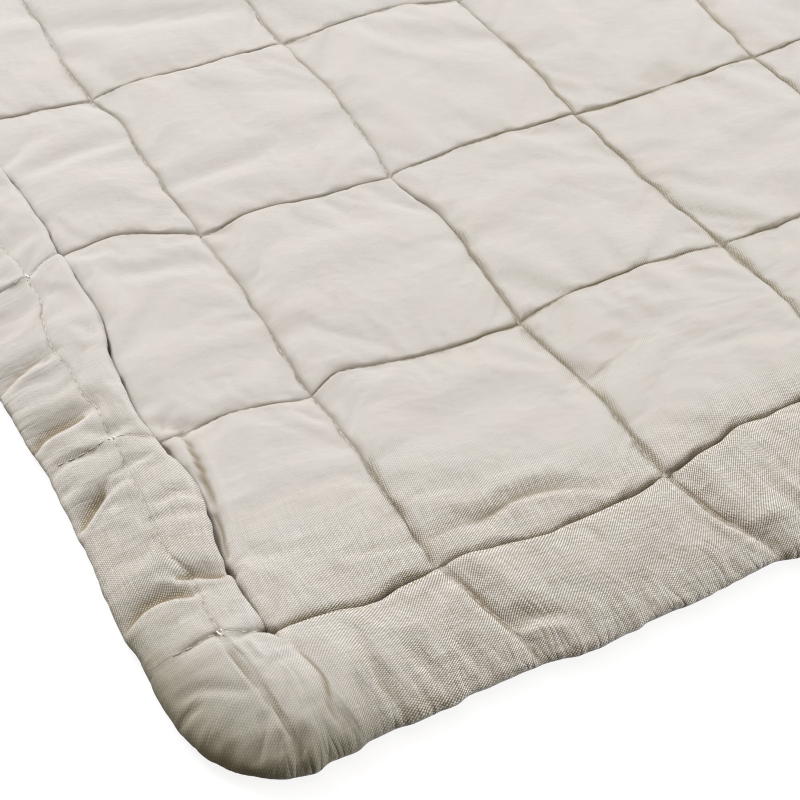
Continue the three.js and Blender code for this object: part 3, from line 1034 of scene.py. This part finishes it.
clothFinish = {
    "warpPitch": 0.62,  # mm
    "weftPitch": 0.47,
    "wobble": (160, 0.0009),  # scale, and size in m
    "rib": 0.27,
    "slub": ((90, 1400, 1), (1400, 90, 1)),  # thick places along the two yarns
    "speckScale": 1500,
    "whiteYarn": (0.7, 0.695, 0.645, 1),
    "tanYarn": (0.195, 0.145, 0.072, 1),
    "whiteBase": 0.18,
    "whiteMore": {"slub": 1.5, "specks": 0.9, "steep": -0.35, "fold": -0.45, "opened": -0.3},
    "whiteRange": (-0.35, 0.45),
    "evenTone": (0.457, 0.427, 0.375, 1),  # the two yarns seen together
    # painted shade on slopes, and in folds
    "slopeShadeTone": (0.36, 0.323, 0.235, 1),
    "foldShadeTone": (0.25, 0.2, 0.135, 1),
    # painted shade: a little of the slope shade tone where the weave is open, more of it on slopes, and the
    # fold shade tone in folds
    "evenShades": [(0.15, "slopeShadeTone"), (0.8, "slopeShadeTone"), (0.9, "foldShadeTone")],
    "steepRange": (0.05, 0.65),  # radians of slope over which the painted slope shade sets in
    "clear": (0.03, 0.6, 0.45),  # how clearly the weave shows: everywhere, where it is open, and on slopes as part of the painted slope shade
    "mottle": (46, 0.16),  # scale and share
    "mottleTone": (0.52, 0.44, 0.37, 1),
    # brown of the sewn lines, also used for the painted crease shade
    "seamBrownAndShadeTan": (0.19, 0.14, 0.075, 1),
    # painted shade low on the edges, and how much of it
    "lowShadeTone": (0.2, 0.178, 0.11, 1),
    "lowShadeShare": 0.68,
    "yarnRelief": 0.1,  # mm
    "yarnStrength": (0.2, 0.65),  # where the weave is even, and where it is clear
    "crumple": 0.3,  # mm
    "crumpleScale": (140, 230, 1),
    "gatherRelief": 0.7,  # mm
    "gathersPerMetre": 190,
    "gatherPatches": 38,
    "gatherBranching": 1.4,
    "surface": {
        "Roughness": 0.88,
        "Specular IOR Level": 0.2,
        "Sheen Weight": 0.12,
        "Sheen Roughness": 0.5,
    },
}


def cottonCloth(c):
    material, shader = newMaterial("wovenCotton", c["surface"])
    tree = material.node_tree
    uv = tree.nodes.new("ShaderNodeUVMap")
    uv.uv_map = "clothMap"
    place = uv.outputs["UV"]
    parts = tree.nodes.new("ShaderNodeSeparateXYZ")
    feed(parts.inputs[0], place)
    # yarns wobble a little, then cross over and under each other
    wobble = maths("MULTIPLY_ADD", noise(place, c["wobble"][0], 2), c["wobble"][1], 0.5)
    warpAngle, weftAngle = (times(plus(parts.outputs[k], wobble), math.pi / (c[pitch] * mm))
                            for k, pitch in enumerate(("warpPitch", "weftPitch")))
    over = times(maths("SINE", warpAngle), maths("SINE", weftAngle))
    over = plus(over, times(maths("COSINE", minus(warpAngle, weftAngle)), c["rib"]))
    slub = minus(plus(*(noise(stretched(place, scale), 1, 2) for scale in c["slub"])), 1.0)
    # painted shade on slopes and in folds: darker, with more of the tan yarn; the open weave shows more of
    # the tan yarn too
    crisp, inFoldShade, gathered = (mark(tree, name) for name in ("crisp", "inFoldShade", "gathered"))
    steep = maths("MAXIMUM", rangeMap(mark(tree, "slope"), *c["steepRange"]), inFoldShade)
    specks = minus(noise(place, c["speckScale"], 1), 0.5)
    opened = times(crisp, minus(1.0, steep))
    sources = {"slub": slub, "specks": specks, "steep": steep, "fold": inFoldShade, "opened": opened}
    white = c["whiteBase"]
    for name, source in sources.items():
        white = plus(times(source, c["whiteMore"][name]), white)
    white = rangeMap(plus(over, white), *c["whiteRange"])
    yarns = mixColour(white, c["tanYarn"], c["whiteYarn"])
    even = c["evenTone"]
    for source, (share, tone) in zip((crisp, steep, inFoldShade), c["evenShades"]):
        even = mixColour(times(source, share), even, c[tone])
    everywhere, whereOpen, onSlopes = c["clear"]
    clear = plus(maths("MULTIPLY_ADD", crisp, whereOpen, everywhere), times(steep, onSlopes))
    colour = mixColour(clear, even, yarns)
    # soft mottling of the cloth, brown in the sewn lines with painted shade along the creases, and painted
    # shade low on the edges
    mottleScale, mottleShare = c["mottle"]
    mottle = rangeMap(noise(place, mottleScale, 3), 0.35, 0.65, 0.0, mottleShare)
    colour = mixColour(mottle, colour, c["mottleTone"])
    colour = mixColour(mark(tree, "seamBrownAndCreaseShade"), colour, c["seamBrownAndShadeTan"])
    colour = mixColour(times(mark(tree, "lowEdgeShade"), c["lowShadeShare"]), colour, c["lowShadeTone"])
    feed(shader.inputs["Base Color"], colour)
    # short gathers round the lower edge
    foldPlace = tree.nodes.new("ShaderNodeCombineXYZ")
    feed(foldPlace.inputs[0], times(mark(tree, "edgeRun"), c["gathersPerMetre"]))
    feed(foldPlace.inputs[1], times(gathered, c["gatherBranching"]))
    ridge = maths("ABSOLUTE", minus(noise(foldPlace.outputs[0], 1.0, 1.5, "2D"), 0.5))
    ridge = maths("POWER", maths("MINIMUM", times(ridge, 5.0), 1.0), 0.7)
    patches = times(rangeMap(noise(place, c["gatherPatches"], 1), 0.3, 0.55), gathered)
    folds = bump(times(ridge, patches), c["gatherRelief"] * mm)
    # fine crumples of washed cotton, and the yarns
    crumpled = bump(noise(stretched(place, c["crumpleScale"]), 1, 3), c["crumple"] * mm, under=folds)
    height = plus(maths("POWER", maths("ABSOLUTE", over), 0.6), times(slub, 0.5))
    strength = rangeMap(maths("MAXIMUM", crisp, steep), 0.0, 1.0, *c["yarnStrength"])
    feed(shader.inputs["Normal"], bump(height, c["yarnRelief"] * mm, strength, crumpled))
    return material


cover.data.materials.append(cottonCloth(clothFinish))
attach(cover, "root")
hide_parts(b["node"])
print("cloth set")

# sewing thread

seamThread = {
    "name": "seam_thread",
    "pitch": 4.1,  # mm
    "stitchLength": 3.0,
    "threadWidth": 0.42,
    "unevenness": 0.25,
    "lift": 0.1,
    "reach": 12,  # how close to the outline the lines over the rolls come
    "light": (0.62, 0.58, 0.5, 1),
    "dark": (0.48, 0.43, 0.35, 1),
}
securingThread = {
    "name": "securing_thread",
    "pitch": 50,  # one stitch a place
    "stitchLength": 3.4,
    "threadWidth": 0.75,
    "unevenness": 0.2,
    "lift": 0.35,
    "apart": (1.5, 0.4),  # the pair of stitches at a crossing
    "raised": 0.2,
    "slant": (0.3, -1.0, 0),
    "light": (0.86, 0.85, 0.82, 1),
    "dark": (0.62, 0.60, 0.55, 1),
}
threadTwist = {"scale": 2600, "relief": 0.1, "surface": {"Roughness": 0.7, "Sheen Weight": 0.15}}


def threadFinish(c):
    material, shader = newMaterial(c["name"], threadTwist["surface"])
    place = material.node_tree.nodes.new("ShaderNodeTexCoord").outputs["Object"]
    ply = noise(place, threadTwist["scale"], 2)
    feed(shader.inputs["Base Color"], mixColour(rangeMap(ply, 0.35, 0.65), c["dark"], c["light"]))
    feed(shader.inputs["Normal"], bump(ply, threadTwist["relief"] * mm))
    return material


def stitchTree(material):
    tree = bpy.data.node_groups.new("stitches", "GeometryNodeTree")
    tree.interface.new_socket("Seams", in_out="INPUT", socket_type="NodeSocketGeometry")
    for name in ("Pitch", "Stitch Length", "Thread Width", "Unevenness"):
        tree.interface.new_socket(name, in_out="INPUT", socket_type="NodeSocketFloat")
    tree.interface.new_socket("Stitches", in_out="OUTPUT", socket_type="NodeSocketGeometry")
    kinds = {
        "given": "NodeGroupInput",
        "path": "GeometryNodeMeshToCurve",
        "spots": "GeometryNodeCurveToPoints",
        "bead": "GeometryNodeMeshUVSphere",
        "vary": "FunctionNodeRandomValue",
        "low": "ShaderNodeMath",
        "high": "ShaderNodeMath",
        "run": "ShaderNodeMath",
        "size": "ShaderNodeCombineXYZ",
        "laid": "GeometryNodeInstanceOnPoints",
        "made": "GeometryNodeRealizeInstances",
        "soft": "GeometryNodeSetShadeSmooth",
        "paint": "GeometryNodeSetMaterial",
        "out": "NodeGroupOutput",
    }
    n = {name: tree.nodes.new(kind) for name, kind in kinds.items()}
    n["spots"].mode = "LENGTH"
    for name, value in (("Segments", 6), ("Rings", 4), ("Radius", 0.5)):
        feed(n["bead"].inputs[name], value)
    for name, operation in (("low", "SUBTRACT"), ("high", "ADD"), ("run", "MULTIPLY")):
        n[name].operation = operation
    n["vary"].data_type = "FLOAT"
    feed(n["low"].inputs[0], 1)
    feed(n["high"].inputs[0], 1)
    feed(n["vary"].inputs["Seed"], seed)
    feed(n["paint"].inputs["Material"], material)
    joins = (
        ("given", "Seams", "path", "Mesh"),
        ("path", "Curve", "spots", "Curve"),
        ("given", "Pitch", "spots", "Length"),
        ("given", "Unevenness", "low", 1),
        ("given", "Unevenness", "high", 1),
        ("given", "Stitch Length", "run", 0),
        ("given", "Thread Width", "size", 0),
        ("given", "Thread Width", "size", 1),
        ("run", 0, "size", 2),
        ("spots", "Points", "laid", "Points"),
        ("bead", "Mesh", "laid", "Instance"),
        ("spots", "Rotation", "laid", "Rotation"),
        ("size", 0, "laid", "Scale"),
        ("laid", "Instances", "made", "Geometry"),
        ("made", "Geometry", "soft", "Geometry"),
        ("soft", "Geometry", "paint", "Geometry"),
        ("paint", "Geometry", "out", "Stitches"),
    )
    for source, output, target, socket in joins:
        feed(n[target].inputs[socket], n[source].outputs[output])
    varyLow, varyHigh = [k for k in n["vary"].inputs if k.type == "VALUE"][:2]
    feed(varyLow, n["low"].outputs[0])
    feed(varyHigh, n["high"].outputs[0])
    feed(n["run"].inputs[1], next(k for k in n["vary"].outputs if k.type == "VALUE"))
    return tree


def sewThread(runs, c):
    points, edges = [], []
    for run in runs:
        edges += [(len(points) + k, len(points) + k + 1) for k in range(len(run) - 1)]
        points += [(x, y, z + c["lift"] * mm) for x, y, z in run]
    path = bpy.data.meshes.new(c["name"])
    path.from_pydata(points, edges, [])
    piece = bpy.data.objects.new(c["name"], path)
    scene.collection.objects.link(piece)
    material = threadFinish(c)
    tree = stitchTree(material)
    sew = piece.modifiers.new("sew", "NODES")
    sew.node_group = tree
    inputs = {k.name: k.identifier for k in tree.interface.items_tree if k.in_out == "INPUT"}
    sew[inputs["Pitch"]] = c["pitch"] * mm
    sew[inputs["Stitch Length"]] = c["stitchLength"] * mm
    sew[inputs["Thread Width"]] = c["threadWidth"] * mm
    sew[inputs["Unevenness"]] = c["unevenness"]
    stitched = bpy.data.meshes.new_from_object(piece.evaluated_get(bpy.context.evaluated_depsgraph_get()))
    piece.modifiers.remove(sew)
    piece.data = stitched
    if not stitched.materials:
        stitched.materials.append(material)
    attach(piece, "root")
    print(c["name"], len(stitched.polygons), "faces")


def seamRuns(grid, c):
    onTop = np.abs(grid[..., 0]) < (halfWidth - c["reach"]) * mm
    onTop &= np.abs(grid[..., 1]) < (halfLength - c["reach"]) * mm
    inside = np.abs(alongStops) < endSeam + 1
    runs = []
    for line, i in zip(lengthwise, stopAt(acrossStops, lengthwise)):
        runs.append(grid[i][onTop[i] & (inside if abs(line) >= sideSeam else True)])
    for j in stopAt(alongStops, crosswise):
        runs.append(grid[:, j][onTop[:, j]])
    return runs


def securingRuns(grid, c):
    runs = []
    places = [(side * tackLine, line) for side in (-1, 1) for line in crosswise]
    places += [(line, end * endSeam) for end in (-1, 1) for line in innerLines]
    for x, y in places:
        crossing = grid[stopAt(acrossStops, x), stopAt(alongStops, y)]
        for side in (-0.5, 0.5):
            start = crossing + np.array([side * c["apart"][0], side * c["apart"][1], c["raised"]]) * mm
            runs.append([start, start + np.array(c["slant"]) * mm])
    return runs


settledGrid = topGrid(cover, sewnPoints.shape)
sewThread(seamRuns(settledGrid, seamThread), seamThread)
sewThread(securingRuns(settledGrid, securingThread), securingThread)
